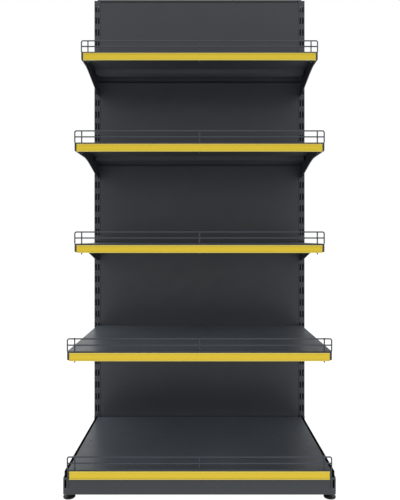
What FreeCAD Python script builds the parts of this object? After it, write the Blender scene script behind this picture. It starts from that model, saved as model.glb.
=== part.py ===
import FreeCAD, Part
import math
import os

Vec = FreeCAD.Vector

# A single-sided shop shelving bay. Millimetres, +Z up, the goods side faces -Y.
# The origin is on the floor, under the centre of the bay's box.
# "Forward" below is the distance in front of the uprights' front faces.

# Uprights
bay_pitch = 870.0
upright_width = 26.0
upright_depth = 60.0
upright_wall = 2.0
upright_corner = 1.2
upright_top = 1875.0
frame_bottom = 22.0
slot_pitch = 50.0
slot_width = 6.0
slot_height = 27.0
slot_row_spacing = 11.4
first_slot_drop = 35.0
lowest_slot_margin = 0.4

# How far cutters run past the faces they open, and what counts as no distance
cut_past = 1.0
tiny = 1e-6

# Hooks that drop behind a slotted wall
hook_tab_height = 13.0
hook_drop = 4.0
hook_leg = 4.0
hook_gap = 0.3

# Shelf levels, counted in slots down from the top of the uprights
first_shelf_slot_count = 6
shelf_step_slot_count = 7
top_shelf_depth = 300.0
middle_shelf_depth = 400.0
bottom_shelf_depth = 500.0
deck_above_slot = 5.0

# Shelf brackets
bracket_plate = 2.5
bracket_back_drop = 48.0
bracket_curve_start = 285.0
bracket_front_handle = 95.0
bracket_back_handle = 110.0
bracket_back_rise = 8.0
bracket_tip_radius = 6.0

# Folded sheet decks
deck_sheet = 1.0
deck_back_gap = 20.0
fold_radius = 1.0
deck_side_clearance = 0.35
lip_overhang = 14.0
lip_height = 30.0
lip_return = 13.0
lip_corner = 8.5
flange_height = 29.0
flange_back_inset = 3.0
back_flange_height = 26.0

# Hat-section stiffeners under the decks
hat_width = 38.0
hat_depth = 14.5
hat_forward = 96.0
hat_foot = 10.0
hat_sheet = 1.0
hat_end_gap = 2.0

# Ticket strips on the lips
ticket_drop = 5.0
ticket_height = 27.5
ticket_wall = 1.0
ticket_thickness = 3.0
ticket_lip = 3.0
ticket_end_inset = 7.4

# Wire guards that stand in holes along the lips
guard_wire = 4.5
guard_height = 40.5
guard_middle = 19.8
guard_overhang = 1.95
guard_corner = 5.0
guard_setback = 2.7
guard_leg_inset = 23.2
guard_leg_reach = 37.5
guard_seat_gap = 0.3
guard_hole_play = 1.2
weld_overlap = 0.4
wire_sides = 6
bend_steps = 2

# Base feet, folded channels with a slotted front plate
base_depth = 500.0
base_deck_top = 109.0
base_flange_height = 22.0
foot_wall = 2.0
foot_outer_top = 90.0
foot_front_top = 78.0
foot_front_corner = 4.0
foot_wall_setback = 16.0
foot_past_bracket = 1.0
foot_back_plate = 3.0
foot_back_top_gap = 2.0
foot_slot_middle = 56.6
base_side_inset = 3.2
base_hole_radius = 2.8
base_hole_inset = 23.0
base_hole_forward = 273.0

# Deck stops: an edge strip beside the base deck that ends in a block at the front
stop_fit = 0.3
stop_length = 10.0
stop_block_low = 76.0
stop_deck_gap = 1.3
stop_top_width = 10.0
stop_strip_low = 86.0
stop_strip_top = 104.0
stop_rim = 1.5

# Plinth
plinth_sheet = 1.0
plinth_top = 76.0
plinth_return = 15.0
plinth_stand_off = 1.0
plinth_end_gap = 2.5

# Back panels and the lower tie, trays hooked into the uprights' sides
panel_sheet = 1.0
panel_recess = 0.5
panel_side_gap = 0.5
panel_return = 15.0
panel_seam = 1.0
panel_seam_below_deck = 15.0
panel_top_gap = 3.0
panel_above_tie = 14.0
panel_hook_plate = 1.5
panel_hook_inset = 60.0
panel_hook_setback = 9.0
side_slot_width = 4.5
tie_bottom = 30.0
tie_height = 36.0
tie_depth = 40.0

# Top rail with its screws
rail_rise = 5.0
rail_sheet = 1.5
rail_end_gap = 1.0
rail_setback = 0.5
rail_skirt = 6.0
rail_tab_width = 7.0
rail_tab_plate = 2.0
rail_tab_reach = 37.0
rail_screw_drop = 26.0
screw_radius = 2.2
screw_head_radius = 3.6
screw_head_height = 2.2
screw_rim = 1.1
screw_crown_radius = 2.2
screw_length = 7.0
screw_play = 0.2
screw_sides = 12

# Levelling feet
pad_radius = 20.0
pad_rim = 5.0
pad_height = 14.0
pad_neck_radius = 9.0
pad_socket_depth = 9.0
stem_radius = 5.0
stem_top = 75.0
stem_play = 0.3
bore_sides = 12
pad_sides = 24
hex_across_flats = 17.0
hex_sides = 6
nut_height = 8.0
nut_flange_plate = 4.0
front_leveller_inset = 29.0

# Places worked out from the driving dimensions
shelf_depths = (top_shelf_depth, middle_shelf_depth, middle_shelf_depth, bottom_shelf_depth)
upright_x = bay_pitch / 2
upright_inner_x = upright_x - upright_width / 2
upright_outer_x = upright_x + upright_width / 2
inner_row_x = upright_x - slot_row_spacing / 2
outer_row_x = upright_x + slot_row_spacing / 2
bracket_outer_x = inner_row_x + bracket_plate / 2
bracket_inner_x = inner_row_x - bracket_plate / 2
deck_half = bracket_outer_x + deck_side_clearance + deck_sheet
base_half = deck_half - base_side_inset
ticket_half = deck_half - ticket_end_inset
guard_half = deck_half + guard_overhang
guard_leg_x = deck_half - guard_leg_inset
front_reach = max(shelf_depths + (base_depth,)) + lip_overhang + ticket_thickness
upright_front_y = (front_reach - upright_depth) / 2
first_slot_z = upright_top - first_slot_drop
lowest_slot_z = frame_bottom + hook_drop + lowest_slot_margin + slot_height / 2
slot_count = int((first_slot_z - lowest_slot_z) / slot_pitch) + 1
foot_front = base_depth + foot_past_bracket
front_leveller_forward = foot_front - front_leveller_inset
rear_leveller_forward = -upright_depth / 2
behind_hooks = upright_wall + hook_gap + hook_leg


def slot_z(index):
    """Height of a slot's middle, counted down from the top of the upright."""
    return first_slot_z - index * slot_pitch


def shelf_slot(level):
    """Upper slot of a shelf level; level 0 is the highest shelf."""
    return first_shelf_slot_count + shelf_step_slot_count * level


def deck_top(level):
    """Height of a shelf's surface."""
    return slot_z(shelf_slot(level)) + deck_above_slot


# Shape helpers

def at(x, forward, z):
    """Point from its x, its distance in front of the uprights, and its height."""
    return Vec(x, upright_front_y - forward, z)


def block(x_limits, forward_limits, z_limits):
    """Box between three pairs of limits."""
    x0, x1 = x_limits
    near, far = forward_limits
    z0, z1 = z_limits
    return Part.makeBox(x1 - x0, far - near, z1 - z0, at(x0, far, z0))


def rounded_wire(corners, radii):
    """Closed wire through corner points, each rounded by its own radius."""
    entries = []
    exits = []
    middles = []
    for index, corner in enumerate(corners):
        towards_last = corners[index - 1] - corner
        towards_next = corners[(index + 1) % len(corners)] - corner
        towards_last.normalize()
        towards_next.normalize()
        half_angle = towards_last.getAngle(towards_next) / 2
        setback = radii[index] / math.tan(half_angle)
        entries.append(corner + towards_last * setback)
        exits.append(corner + towards_next * setback)
        bisector = towards_last + towards_next
        if radii[index] > 0:
            bisector.normalize()
        middles.append(corner + bisector * (radii[index] / math.sin(half_angle) - radii[index]))
    edges = []
    for index, radius in enumerate(radii):
        if radius > 0:
            edges.append(Part.Arc(entries[index], middles[index], exits[index]).toShape())
        following = entries[(index + 1) % len(entries)]
        if exits[index].distanceToPoint(following) > tiny:
            edges.append(Part.LineSegment(exits[index], following).toShape())
    return Part.Wire(edges)


def folded_sheet(path, thickness, outside):
    """Outline of a folded sheet: its corners and radii.

    The path runs along one face of the sheet, and the sheet lies to its left.
    Folds are sharp inside and rounded outside.
    """
    offsets = []
    path_radii = []
    offset_radii = []
    for index, point in enumerate(path):
        if index > 0:
            incoming = direction(path[index - 1], point)
        if index + 1 < len(path):
            outgoing = direction(point, path[index + 1])
        if index == 0:
            incoming = outgoing
        if index + 1 == len(path):
            outgoing = incoming
        turn = incoming[0] * outgoing[1] - incoming[1] * outgoing[0]
        along = incoming[0] * outgoing[0] + incoming[1] * outgoing[1]
        shift_u = -(incoming[1] + outgoing[1]) * thickness / (1 + along)
        shift_v = (incoming[0] + outgoing[0]) * thickness / (1 + along)
        offsets.append((point[0] + shift_u, point[1] + shift_v))
        if abs(turn) < tiny:
            path_radii.append(0.0)
            offset_radii.append(0.0)
        elif turn > 0:
            path_radii.append(outside)
            offset_radii.append(0.0)
        else:
            path_radii.append(0.0)
            offset_radii.append(outside)
    return path + offsets[::-1], path_radii + offset_radii[::-1]


def direction(start, end):
    """Unit step from one flat point to another."""
    length = math.hypot(end[0] - start[0], end[1] - start[1])
    return ((end[0] - start[0]) / length, (end[1] - start[1]) / length)


def bar_along_x(outline, radii, x0, x1):
    """Solid with a section of (forward, z) corners, running from x0 to x1."""
    corners = [at(x0, forward, z) for forward, z in outline]
    return Part.Face(rounded_wire(corners, radii)).extrude(Vec(x1 - x0, 0, 0))


def post_along_z(outline, radii, z0, z1):
    """Solid with a section of (x, forward) corners, running from z0 to z1."""
    corners = [at(x, forward, z0) for x, forward in outline]
    return Part.Face(rounded_wire(corners, radii)).extrude(Vec(0, 0, z1 - z0))


def plate_facing_front(outline, radii, near, far):
    """Flat plate with (x, z) corners, between two distances in front of the uprights."""
    corners = [at(x, near, z) for x, z in outline]
    return Part.Face(rounded_wire(corners, radii)).extrude(at(0, far, 0) - at(0, near, 0))


def ring(sides, flat_radius, centre, axis):
    """Corners with equal sides, square to an axis, each side flat_radius from the centre."""
    across = Vec(0, 0, 1) if abs(axis.z) < 0.5 * axis.Length else Vec(1, 0, 0)
    sideways = axis.cross(across).normalize()
    corner_radius = flat_radius / math.cos(math.pi / sides)
    corners = []
    for index in range(sides):
        angle = 2 * math.pi * (index + 0.5) / sides
        step = across * math.cos(angle) + sideways * math.sin(angle)
        corners.append(centre + step * corner_radius)
    return corners


def flat_face(corners):
    """Flat face inside a closed run of corners."""
    return Part.Face(Part.makePolygon(corners + corners[:1]))


def prism(sides, flat_radius, start, run):
    """Straight bar with equal flat sides, from a start point along a run."""
    return flat_face(ring(sides, flat_radius, start, run)).extrude(run)


def stacked(rings):
    """Solid with flat faces from each ring of corners to the next."""
    faces = [flat_face(rings[0]), flat_face(rings[-1])]
    for lower, upper in zip(rings, rings[1:]):
        for index in range(len(lower)):
            faces.append(flat_face([lower[index - 1], lower[index], upper[index], upper[index - 1]]))
    return Part.Solid(Part.Shell(faces))


def mirrored(shape):
    """The same shape on the other side of the bay."""
    return shape.mirror(Vec(0, 0, 0), Vec(1, 0, 0))


def hook_steps(rest_z, wall):
    """Outline of a hook: (depth into the wall, z) from its root, resting at rest_z."""
    behind = wall + hook_gap
    root = -hook_leg / 2
    return [
        (root, rest_z),
        (behind, rest_z),
        (behind, rest_z - hook_drop),
        (behind + hook_leg, rest_z - hook_drop),
        (behind + hook_leg, rest_z + hook_tab_height),
        (root, rest_z + hook_tab_height),
    ]


def front_hook(x, plate, rest_z, wall, wall_front):
    """Hook through a wall that faces the front, cut from a plate at x."""
    outline = [(wall_front - depth, z) for depth, z in hook_steps(rest_z, wall)]
    return bar_along_x(outline, [0.0] * len(outline), x - plate / 2, x + plate / 2)


# Uprights

def upright_slots(x):
    """Cutters for both rows of slots in the front of one upright."""
    cutters = []
    for index in range(slot_count):
        low = slot_z(index) - slot_height / 2
        for row in (x - slot_row_spacing / 2, x + slot_row_spacing / 2):
            row_limits = (row - slot_width / 2, row + slot_width / 2)
            cutters.append(block(row_limits, (-upright_wall - cut_past, cut_past), (low, low + slot_height)))
    return cutters


def side_slots(hook_heights):
    """Cutters in the right upright's inner side for the hooks of panels and tie."""
    cutters = []
    wall_limits = (upright_inner_x - cut_past, upright_inner_x + upright_wall + cut_past)
    middle = -panel_hook_setback
    slot_limits = (middle - side_slot_width / 2, middle + side_slot_width / 2)
    for rest_z in hook_heights:
        cutters.append(block(wall_limits, slot_limits, (rest_z, rest_z + slot_height)))
    return cutters


def make_upright(hook_heights):
    """Right upright: a closed tube with rounded edges, slotted in front and on its inner side."""
    outline = [
        (upright_inner_x, -upright_depth),
        (upright_outer_x, -upright_depth),
        (upright_outer_x, 0.0),
        (upright_inner_x, 0.0),
    ]
    tube = post_along_z(outline, [upright_corner] * len(outline), frame_bottom, upright_top)
    hollow = block(
        (upright_inner_x + upright_wall, upright_outer_x - upright_wall),
        (upright_wall - upright_depth, -upright_wall),
        (frame_bottom - cut_past, upright_top + cut_past))
    return tube.cut([hollow] + upright_slots(upright_x) + side_slots(hook_heights))


def make_leveller_plate():
    """Plate welded into the foot of the right upright, bored for the levelling stem."""
    plate = block(
        (upright_inner_x + upright_wall, upright_outer_x - upright_wall),
        (upright_wall - upright_depth, -behind_hooks - hook_gap),
        (frame_bottom, frame_bottom + nut_flange_plate))
    return plate.cut(stem_bore(rear_leveller_forward))


# Shelf brackets, decks and what they carry

def make_bracket(level):
    """Right bracket: a plate with an ogee lower edge and two hooks."""
    depth = shelf_depths[level]
    top = deck_top(level) - deck_sheet
    low = deck_top(level) - flange_height
    tip = bracket_tip_radius
    ogee = Part.BezierCurve()
    ogee.setPoles([
        at(bracket_inner_x, bracket_curve_start, low),
        at(bracket_inner_x, bracket_curve_start - bracket_front_handle, low),
        at(bracket_inner_x, bracket_back_handle, low - bracket_back_drop + bracket_back_rise),
        at(bracket_inner_x, 0, low - bracket_back_drop),
    ])
    tip_middle = tip * (1 - math.sqrt(0.5))
    tip_arc = Part.Arc(
        at(bracket_inner_x, depth, low + tip),
        at(bracket_inner_x, depth - tip_middle, low + tip_middle),
        at(bracket_inner_x, depth - tip, low))
    edges = [
        ogee.toShape(),
        Part.makeLine(at(bracket_inner_x, 0, low - bracket_back_drop), at(bracket_inner_x, 0, top)),
        Part.makeLine(at(bracket_inner_x, 0, top), at(bracket_inner_x, depth, top)),
        Part.makeLine(at(bracket_inner_x, depth, top), at(bracket_inner_x, depth, low + tip)),
        tip_arc.toShape(),
        Part.makeLine(at(bracket_inner_x, depth - tip, low), at(bracket_inner_x, bracket_curve_start, low)),
    ]
    outline = Part.Wire(Part.__sortEdges__(edges))
    plate = Part.Face(outline).extrude(Vec(bracket_plate, 0, 0))
    for index in (shelf_slot(level), shelf_slot(level) + 1):
        rest_z = slot_z(index) - slot_height / 2
        plate = plate.fuse(front_hook(inner_row_x, bracket_plate, rest_z, upright_wall, 0.0))
    return plate.removeSplitter()


def guard_legs_x():
    """Places of a guard's upright wires across the bay."""
    return (-guard_leg_x, 0.0, guard_leg_x)


def guard_leg_forward(lip_face):
    """How far forward a guard's upright wires stand."""
    return lip_face - guard_setback - guard_wire + weld_overlap


def make_deck(top, lip_face, side_half, side_flange, notch_x):
    """Folded deck: surface, lip with its return, back flange and two side flanges."""
    bottom = top - lip_height
    under = top - deck_sheet
    behind_lip = lip_face - deck_sheet
    flange_back = deck_back_gap + flange_back_inset
    path = [
        (lip_face - lip_return, bottom),
        (lip_face, bottom),
        (lip_face, top),
        (deck_back_gap, top),
        (deck_back_gap, top - back_flange_height),
    ]
    outline, radii = folded_sheet(path, deck_sheet, fold_radius)
    deck = bar_along_x(outline, radii, -deck_half, deck_half)
    low_limits = (bottom - cut_past, under)
    cutters = [lip_corner_cutter(-1, bottom, lip_face), lip_corner_cutter(1, bottom, lip_face)]
    for side in (-1, 1):
        end_limits = sorted((side * notch_x, side * (deck_half + cut_past)))
        cutters.append(block(end_limits, (deck_back_gap - cut_past, flange_back), low_limits))
        cutters.append(block(end_limits, (lip_face - lip_return - cut_past, behind_lip), low_limits))
        side_limits = sorted((side * side_half, side * (deck_half + cut_past)))
        cutters.append(block(side_limits, (deck_back_gap - cut_past, behind_lip), (bottom, top + cut_past)))
    for x in guard_legs_x():
        hole_at = at(x, guard_leg_forward(lip_face), bottom - cut_past)
        run = Vec(0, 0, lip_height + 2 * cut_past)
        cutters.append(prism(wire_sides, (guard_wire + guard_hole_play) / 2, hole_at, run))
    deck = deck.cut(cutters)
    for side in (-1, 1):
        flange_limits = sorted((side * (side_half - deck_sheet), side * side_half))
        heights = (top - side_flange, top - deck_sheet / 2)
        deck = deck.fuse(block(flange_limits, (flange_back, behind_lip), heights))
    return deck.removeSplitter()


def make_shelf_deck(level):
    """Deck that rests on a pair of brackets."""
    lip_face = shelf_depths[level] + lip_overhang
    notch_x = bracket_inner_x - hat_end_gap
    return make_deck(deck_top(level), lip_face, deck_half, flange_height, notch_x)


def make_base_deck():
    """Deck that rests on the feet, with a small hole near each side."""
    lip_face = base_depth + lip_overhang
    notch_x = upright_inner_x - hat_end_gap
    deck = make_deck(base_deck_top, lip_face, base_half, base_flange_height, notch_x)
    hole_low = base_deck_top - deck_sheet - cut_past
    for side in (-1, 1):
        hole_at = at(side * (base_half - base_hole_inset), base_hole_forward, hole_low)
        deck = deck.cut(prism(screw_sides, base_hole_radius, hole_at, Vec(0, 0, deck_sheet + 2 * cut_past)))
    return deck


def lip_corner_cutter(side, bottom, lip_face):
    """What is trimmed off a lower end corner of the lip to round it."""
    inside = side * (deck_half - lip_corner)
    end_limits = sorted((inside, side * (deck_half + cut_past)))
    back = lip_face - lip_return - cut_past
    front = lip_face + cut_past
    square = block(end_limits, (back, front), (bottom - cut_past, bottom + lip_corner))
    disc_at = at(inside, back, bottom + lip_corner)
    return square.cut(Part.makeCylinder(lip_corner, front - back, disc_at, Vec(0, -1, 0)))


def make_stiffener(top):
    """Hat section under a deck, from bracket to bracket."""
    under = top - deck_sheet
    half = hat_width / 2
    path = [
        (hat_forward + half + hat_foot, under),
        (hat_forward + half, under),
        (hat_forward + half, under - hat_depth),
        (hat_forward - half, under - hat_depth),
        (hat_forward - half, under),
        (hat_forward - half - hat_foot, under),
    ]
    outline, radii = folded_sheet(path, hat_sheet, 0.0)
    end = min(bracket_inner_x, upright_inner_x) - hat_end_gap
    return bar_along_x(outline, radii, -end, end)


def make_ticket_strip(top, lip_face):
    """Extruded strip on the lip: a back with a curled lip along each edge."""
    high = top - ticket_drop
    low = high - ticket_height
    front = lip_face + ticket_thickness
    path = [
        (front, low + ticket_lip),
        (front, low),
        (lip_face, low),
        (lip_face, high),
        (front, high),
        (front, high - ticket_lip),
    ]
    # The strip's wall lies inside the path.
    outline, radii = folded_sheet(path[::-1], ticket_wall, 0.0)
    return bar_along_x(outline, radii, -ticket_half, ticket_half)


def wire_bend(entry, centre, run, axis):
    """A square bend of guard wire, in short straight steps about an axis."""
    first = ring(wire_sides, guard_wire / 2, entry, run)
    rings = []
    for step in range(bend_steps + 1):
        turn = FreeCAD.Rotation(axis, 90.0 * step / bend_steps)
        rings.append([centre + turn.multVec(corner - centre) for corner in first])
    return stacked(rings)


def wire_run(points, corner):
    """Wire through points in one plane, with square bends: its straight and bent pieces."""
    pieces = []
    start = points[0]
    for index in range(1, len(points) - 1):
        corner_point = points[index]
        back = (points[index - 1] - corner_point).normalize()
        ahead = (points[index + 1] - corner_point).normalize()
        entry = corner_point + back * corner
        pieces.append(prism(wire_sides, guard_wire / 2, start, entry - start))
        pieces.append(wire_bend(entry, corner_point + (back + ahead) * corner, back, ahead.cross(back)))
        start = corner_point + ahead * corner
    pieces.append(prism(wire_sides, guard_wire / 2, start, points[-1] - start))
    return pieces


def make_guard(top, lip_face):
    """Wire guard: a top wire bent down at its ends, a middle wire, and legs that reach below the deck."""
    forward = lip_face - guard_setback
    radius = guard_wire / 2
    side = guard_half - radius
    high = top + guard_height
    half_hoop = [(side, top + guard_seat_gap), (side, high), (0, high)]
    pieces = wire_run([at(x, forward, z) for x, z in half_hoop], guard_corner)
    pieces += [mirrored(piece) for piece in pieces]
    pieces.append(prism(wire_sides, radius, at(-side, forward, top + guard_middle), Vec(2 * side, 0, 0)))
    leg = Vec(0, 0, guard_leg_reach + guard_height + radius)
    for x in guard_legs_x():
        leg_end = at(x, guard_leg_forward(lip_face), top - guard_leg_reach)
        pieces.append(prism(wire_sides, radius, leg_end, leg))
    return pieces[0].fuse(pieces[1:]).removeSplitter()


# Base: feet, deck stops, plinth

def make_foot():
    """Right base foot: a folded channel with a slotted front plate and a hooked back plate."""
    deck_under = base_deck_top - deck_sheet
    path = [
        (upright_inner_x, deck_under),
        (upright_inner_x, frame_bottom),
        (upright_outer_x, frame_bottom),
        (upright_outer_x, foot_outer_top),
    ]
    outline, radii = folded_sheet(path, foot_wall, foot_wall)
    corners = [at(x, 0, z) for x, z in outline]
    channel_length = foot_front - foot_wall
    channel = Part.Face(rounded_wire(corners, radii)).extrude(Vec(0, -channel_length, 0))
    channel = channel.cut(block(
        (upright_outer_x - foot_wall - cut_past, upright_outer_x + cut_past),
        (foot_front - foot_wall_setback, foot_front),
        (foot_front_top, foot_outer_top + cut_past)))
    plate_corners = [
        (upright_inner_x, frame_bottom),
        (upright_outer_x, frame_bottom),
        (upright_outer_x, foot_front_top),
        (upright_inner_x, foot_front_top),
    ]
    plate_radii = [foot_wall, foot_wall, foot_front_corner, foot_wall]
    front_plate = plate_facing_front(plate_corners, plate_radii, foot_front - foot_wall, foot_front)
    back_plate = block(
        (upright_inner_x, upright_outer_x),
        (0, foot_back_plate),
        (frame_bottom, deck_under - foot_back_top_gap))
    foot = channel.fuse([front_plate, back_plate])
    low = foot_slot_middle - slot_height / 2
    cutters = [stem_bore(front_leveller_forward)]
    for row in (inner_row_x, outer_row_x):
        row_limits = (row - slot_width / 2, row + slot_width / 2)
        plate_limits = (foot_front - foot_wall - cut_past, foot_front + cut_past)
        cutters.append(block(row_limits, plate_limits, (low, low + slot_height)))
    foot = foot.cut(cutters)
    for rest_z in foot_hook_heights():
        for row in (inner_row_x, outer_row_x):
            foot = foot.fuse(front_hook(row, foot_back_plate, rest_z, upright_wall, 0.0))
    return foot.removeSplitter()


def foot_hook_heights():
    """Lower ends of the upright's slots that lie behind the foot's back plate."""
    plate_top = base_deck_top - deck_sheet - foot_back_top_gap
    slot_ends = [slot_z(index) - slot_height / 2 for index in range(slot_count)]
    return [z for z in slot_ends if frame_bottom < z < plate_top - hook_tab_height]


def stem_bore(forward):
    """Cutter for a levelling stem's hole on the right side."""
    return prism(bore_sides, stem_radius + stem_play, at(upright_x, forward, 0), Vec(0, 0, base_deck_top))


def make_deck_stop():
    """Right deck stop: a strip seated on the foot's outer wall, with a block below its front end."""
    front = foot_front - foot_wall_setback
    inner = base_half + stop_deck_gap
    inside_wall = upright_outer_x - foot_wall - stop_fit
    strip_corners = [
        (inner, stop_strip_low),
        (inside_wall, stop_strip_low),
        (inside_wall, foot_outer_top),
        (upright_outer_x, foot_outer_top),
        (upright_outer_x, foot_outer_top + stop_rim),
        (inner + stop_top_width, stop_strip_top),
        (inner, stop_strip_top),
    ]
    strip = plate_facing_front(strip_corners, [0.0] * len(strip_corners), foot_back_plate, front)
    end_block = block(
        (inner, inside_wall),
        (front - stop_length, front),
        (stop_block_low, stop_strip_low))
    return strip.fuse(end_block).removeSplitter()


def make_plinth():
    """Kick plate with folded edges and a hook at each end."""
    back_face = foot_front + plinth_stand_off
    face = back_face + plinth_sheet
    path = [
        (face - plinth_return, frame_bottom),
        (face, frame_bottom),
        (face, plinth_top),
        (face - plinth_return, plinth_top),
    ]
    outline, radii = folded_sheet(path, plinth_sheet, plinth_sheet)
    half = inner_row_x + bracket_plate / 2
    plinth = bar_along_x(outline, radii, -half, half)
    cutters = []
    hooks = []
    rest_z = foot_slot_middle - slot_height / 2
    wall = foot_wall + plinth_stand_off
    for side in (-1, 1):
        end_limits = sorted((side * (upright_inner_x - plinth_end_gap), side * (half + cut_past)))
        return_limits = (face - plinth_return - cut_past, back_face)
        cutters.append(block(end_limits, return_limits, (frame_bottom - cut_past, plinth_top + cut_past)))
        hooks.append(front_hook(side * inner_row_x, bracket_plate, rest_z, wall, back_face))
    return plinth.cut(cutters).fuse(hooks).removeSplitter()


# Back: trays hooked between the uprights, top rail

def tray_hook_heights(low, high):
    """Heights where a tray's hooks rest in the uprights' side slots."""
    inset = min(panel_hook_inset, (high - low) / 2)
    return sorted({low + inset, high - inset})


def make_tray(low, high, depth):
    """Sheet with four edges folded back, and hooks out of its sides."""
    half = upright_inner_x - panel_side_gap
    face = -panel_recess
    outer = block((-half, half), (face - depth, face), (low, high))
    inner = block(
        (panel_sheet - half, half - panel_sheet),
        (face - depth - cut_past, face - panel_sheet),
        (low + panel_sheet, high - panel_sheet))
    tray = outer.cut(inner)
    hooks = []
    plate = panel_hook_plate
    wall = panel_side_gap + upright_wall
    for rest_z in tray_hook_heights(low, high):
        steps = hook_steps(rest_z, wall)
        outline = [(half + max(depth_in, -panel_sheet), z) for depth_in, z in steps]
        hook = plate_facing_front(
            outline, [0.0] * len(outline), -panel_hook_setback - plate / 2, -panel_hook_setback + plate / 2)
        hooks.append(hook)
        hooks.append(mirrored(hook))
    return tray.fuse(hooks).removeSplitter()


def panel_limits():
    """Lowest and highest edge of each back panel, from the top down."""
    highs = [upright_top - rail_skirt - panel_top_gap]
    for level in range(len(shelf_depths)):
        highs.append(deck_top(level) - panel_seam_below_deck)
    lows = [high + panel_seam for high in highs[1:]]
    lows.append(tie_bottom + tie_height + panel_above_tie)
    return list(zip(lows, highs))


def make_top_rail():
    """Channel across the tops of the uprights, with a screwed tab inside each."""
    top = upright_top + rail_rise
    half = upright_x - rail_end_gap
    front = -rail_setback
    back = rail_setback - upright_depth
    path = [(front, upright_top), (front, top), (back, top), (back, upright_top)]
    outline, radii = folded_sheet(path, rail_sheet, rail_sheet)
    rail = bar_along_x(outline, radii, -half, half)
    skirt_half = upright_inner_x - panel_side_gap
    skirt_limits = (upright_top - rail_skirt, upright_top + rail_sheet)
    parts = [
        block((-skirt_half, skirt_half), (front - rail_sheet, front), skirt_limits),
        block((-skirt_half, skirt_half), (back, back + rail_sheet), skirt_limits),
    ]
    for side in (-1, 1):
        middle = side * inner_row_x
        tab = block(
            (middle - rail_tab_width / 2, middle + rail_tab_width / 2),
            (-upright_wall - rail_tab_plate, -upright_wall),
            (upright_top - rail_tab_reach, top - rail_sheet / 2))
        hole_at = at(middle, 0, upright_top - rail_screw_drop)
        hole = prism(screw_sides, screw_radius + screw_play, hole_at, Vec(0, upright_depth / 2, 0))
        parts.append(tab.cut(hole))
    return rail.fuse(parts).removeSplitter()


def make_rail_screw(side):
    """Domed screw through the top slot into the rail's tab."""
    start = at(side * inner_row_x, 0, upright_top - rail_screw_drop)
    out = Vec(0, -1, 0)
    levels = (
        (screw_head_radius, 0.0),
        (screw_head_radius, screw_rim),
        (screw_crown_radius, screw_head_height),
    )
    head = stacked([ring(screw_sides, radius, start + out * height, out) for radius, height in levels])
    shank = prism(screw_sides, screw_radius, start, out * -screw_length)
    return head.fuse(shank).removeSplitter()


# Levelling feet on the right side

def make_pad(forward):
    """Moulded pad: a many-sided disc that rises to a neck with a socket for the stem."""
    up = Vec(0, 0, 1)
    levels = ((pad_radius, 0.0), (pad_radius, pad_rim), (pad_neck_radius, pad_height))
    pad = stacked([ring(pad_sides, radius, at(upright_x, forward, z), up) for radius, z in levels])
    socket_floor = at(upright_x, forward, pad_height - pad_socket_depth)
    socket = prism(bore_sides, stem_radius + stem_play, socket_floor, up * pad_height)
    return pad.cut(socket)


def make_stem(forward):
    """Round stem on a hexagon that seats under the frame, with a flat-sided spigot in the pad."""
    low = pad_height - pad_socket_depth
    spigot_flat = stem_radius * math.cos(math.pi / bore_sides)
    spigot = prism(bore_sides, spigot_flat, at(upright_x, forward, low), Vec(0, 0, pad_socket_depth))
    collar_height = Vec(0, 0, frame_bottom - pad_height)
    collar = prism(hex_sides, hex_across_flats / 2, at(upright_x, forward, pad_height), collar_height)
    stem = Part.makeCylinder(stem_radius, stem_top - frame_bottom, at(upright_x, forward, frame_bottom))
    return spigot.fuse([collar, stem]).removeSplitter()


def make_nut(forward, seat):
    """Weld nut that the stem turns in."""
    nut = prism(hex_sides, hex_across_flats / 2, at(upright_x, forward, seat), Vec(0, 0, nut_height))
    return nut.cut(stem_bore(forward))


# Build and write every piece

def export(name, shape):
    """Write one piece under its node name."""
    shape.exportStep("parts/" + name + ".step")


def export_pair(name, right_shape):
    """Write a piece and its mirror image."""
    export(name + "_right", right_shape)
    export(name + "_left", mirrored(right_shape))


def export_group(name, right_shape):
    """Write a small piece and its mirror image as separate solids of one node."""
    export(name, Part.makeCompound([mirrored(right_shape), right_shape]))


def export_level(name, deck, top, depth):
    """Write a deck with its stiffener, ticket strip and guard."""
    lip_face = depth + lip_overhang
    export("deck_" + name, deck)
    export("stiffener_" + name, make_stiffener(top))
    export("ticket_strip_" + name, make_ticket_strip(top, lip_face))
    export("guard_" + name, make_guard(top, lip_face))


def main():
    os.makedirs("parts", exist_ok=True)
    hook_heights = tray_hook_heights(tie_bottom, tie_bottom + tie_height)
    export("lower_tie", make_tray(tie_bottom, tie_bottom + tie_height, tie_depth))
    for index, (low, high) in enumerate(panel_limits()):
        export("back_panel_%d" % (index + 1), make_tray(low, high, panel_return))
        hook_heights += tray_hook_heights(low, high)
    export_pair("upright", make_upright(hook_heights))
    export_pair("leveller_plate", make_leveller_plate())
    export("top_rail", make_top_rail())
    export("top_rail_screws", Part.makeCompound([make_rail_screw(-1), make_rail_screw(1)]))
    for level, depth in enumerate(shelf_depths):
        name = "%d" % (level + 1)
        export_pair("bracket_" + name, make_bracket(level))
        export_level(name, make_shelf_deck(level), deck_top(level), depth)
    export_level("base", make_base_deck(), base_deck_top, base_depth)
    export_pair("base_foot", make_foot())
    export_pair("deck_stop", make_deck_stop())
    export("plinth", make_plinth())
    places = (
        ("front", front_leveller_forward, frame_bottom + foot_wall),
        ("rear", rear_leveller_forward, frame_bottom + nut_flange_plate),
    )
    for place, forward, nut_seat in places:
        export_pair("pad_" + place, make_pad(forward))
        export_pair("stem_" + place, make_stem(forward))
        export_group("leveller_nuts_" + place, make_nut(forward, nut_seat))


main()
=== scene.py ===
import math

import bmesh
import bpy
from mathutils import Matrix, Vector


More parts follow.
